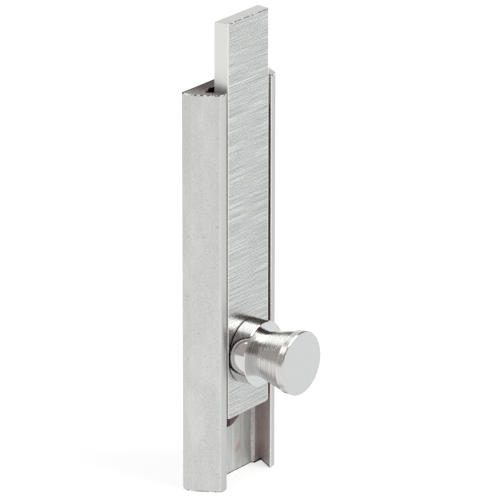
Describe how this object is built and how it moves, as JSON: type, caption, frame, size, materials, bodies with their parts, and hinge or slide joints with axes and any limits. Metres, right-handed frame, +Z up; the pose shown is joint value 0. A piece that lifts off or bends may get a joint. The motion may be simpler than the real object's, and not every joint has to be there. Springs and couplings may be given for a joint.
{
  "type": "furniture bolt",
  "caption": "Surface-mounted slide bolt: a flat bar with a turned pull knob slides in a narrow metal rail whose side walls lean inwards.",
  "frame": {"origin": "centre of the rail's flat back face, midway between its two screw holes", "axes": "+Z up along the rail, the way the bar extends; -Y towards the user, out of the front; +X to the right seen from the front"},
  "size_m": [0.023, 0.0195, 0.0933],
  "materials": {
    "rail_satin_nickel": "satin nickel over drawn steel, faint lines along its length",
    "bar_brushed_nickel": "fine lines brushed across the face",
    "knob_polished_nickel": "polished nickel with fine turning rings, matt end face",
    "plain_steel": "plain bright steel",
    "spring_steel": "dull spring steel"
  },
  "bodies": {
    "rail": {"guide_rail": "rail_satin_nickel", "stop_stud": "plain_steel"},
    "bolt": {"bolt_bar": "bar_brushed_nickel", "knob": "knob_polished_nickel", "knob_screw": "plain_steel", "guide_plate": "spring_steel", "plate_screws": "plain_steel"}
  },
  "joints": [
    {"name": "bolt_slide", "type": "slide", "parent": "rail", "child": "bolt", "axis": [0, 0, 1], "range_m": [-0.0143, 0.00555]}
  ]
}
